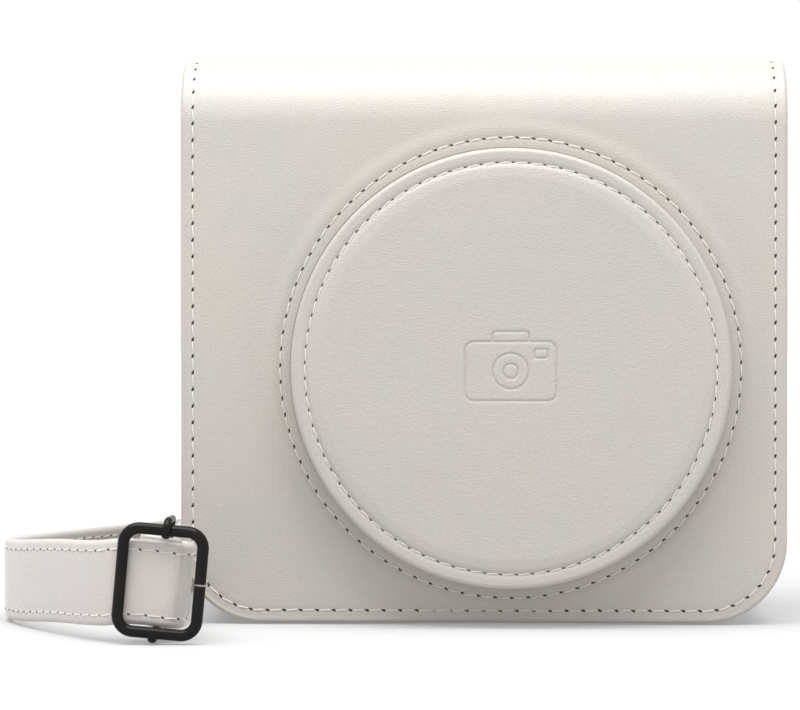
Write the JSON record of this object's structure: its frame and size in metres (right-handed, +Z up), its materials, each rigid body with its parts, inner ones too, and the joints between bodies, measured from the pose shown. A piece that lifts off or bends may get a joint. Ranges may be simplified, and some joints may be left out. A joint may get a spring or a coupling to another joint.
{
  "type": "instant camera case",
  "caption": "Closed pearl leatherette case for a square-format instant camera, with a round lens dome, a fold-over flap and an adjustable strap.",
  "frame": {"origin": "on the surface the case stands on, under the middle of the case's own box, with the strap and its slider left out", "axes": "+X to the right seen from the front, +Y from the front to the back, +Z up"},
  "size_m": [0.185, 0.1651, 0.1336],
  "materials": {
    "case_leather": "pearl, fine grain",
    "cap_leather": "pearl, fine grain",
    "strap_leather": "glossy pearl, fine grain",
    "lining": "brushed weave",
    "board": "pressed grey board",
    "foam": "open cell padding",
    "thread": "twisted white thread",
    "tie_cord": "woven band",
    "magnet": "nickel plated",
    "gunmetal": "glossy black nickel"
  },
  "bodies": {
    "case": {"back_skin": "case_leather", "back_board": "board", "back_lining": "lining", "gusset_skin": "case_leather", "side_boards": "board", "bottom_board": "board", "gusset_lining": "lining", "front_skin": "case_leather", "front_board": "board", "front_lining": "lining", "body_magnets": "magnet", "hinge_strip": "case_leather", "ring_tabs": "case_leather", "tab_rivets": "gunmetal", "short_strap": "strap_leather", "short_strap_loops": "strap_leather", "long_strap_front": "strap_leather", "long_strap_hank": "strap_leather", "long_strap_back": "strap_leather", "long_strap_loop": "strap_leather", "strap_tie": "tie_cord"},
    "flap_top": {"flap_top_skin": "case_leather", "flap_top_board": "board", "flap_top_lining": "lining", "top_seams": "thread", "fold_strip": "case_leather"},
    "flap_front": {"flap_front_skin": "case_leather", "flap_front_board": "board", "flap_front_lining": "lining", "flap_magnets": "magnet", "flap_seam": "thread", "dome_flange": "case_leather", "dome_wall": "case_leather", "dome_lining": "lining", "dome_base_seam": "thread", "cap_skin": "cap_leather", "cap_foam": "foam", "cap_board": "board", "cap_seam": "thread"},
    "ring_left": {"ring_left": "gunmetal"},
    "ring_right": {"ring_right": "gunmetal"},
    "slider": {"slider_frame": "gunmetal"},
    "slider_bar": {"slider_bar": "gunmetal"}
  },
  "joints": [
    {"name": "flap_hinge", "type": "hinge", "parent": "case", "child": "flap_top", "pos_m": [0, 0.0304, 0.13184], "axis": [-1, 0, 0], "range_deg": [0, 175], "deforming": ["hinge_strip"]},
    {"name": "flap_fold", "type": "hinge", "parent": "flap_top", "child": "flap_front", "pos_m": [0, -0.02171, 0.12987], "axis": [-1, 0, 0], "range_deg": [0, 85], "deforming": ["fold_strip", "long_strap_front"]},
    {"name": "ring_left_swing", "type": "hinge", "parent": "case", "child": "ring_left", "pos_m": [-0.05, 0.03486, 0.107], "axis": [1, 0, 0], "range_deg": [0, 90], "deforming": ["short_strap_loops", "short_strap"]},
    {"name": "ring_right_swing", "type": "hinge", "parent": "case", "child": "ring_right", "pos_m": [0.05, 0.03486, 0.107], "axis": [1, 0, 0], "range_deg": [0, 90], "deforming": ["long_strap_loop", "long_strap_back"]},
    {"name": "slider_adjust", "type": "slide", "parent": "case", "child": "slider", "axis": [0.9962, 0, -0.0872], "range_m": [-0.002, 0]},
    {"name": "bar_shift", "type": "slide", "parent": "slider", "child": "slider_bar", "axis": [0.9962, 0, -0.0872], "range_m": [-0.0015, 0.0005]}
  ]
}
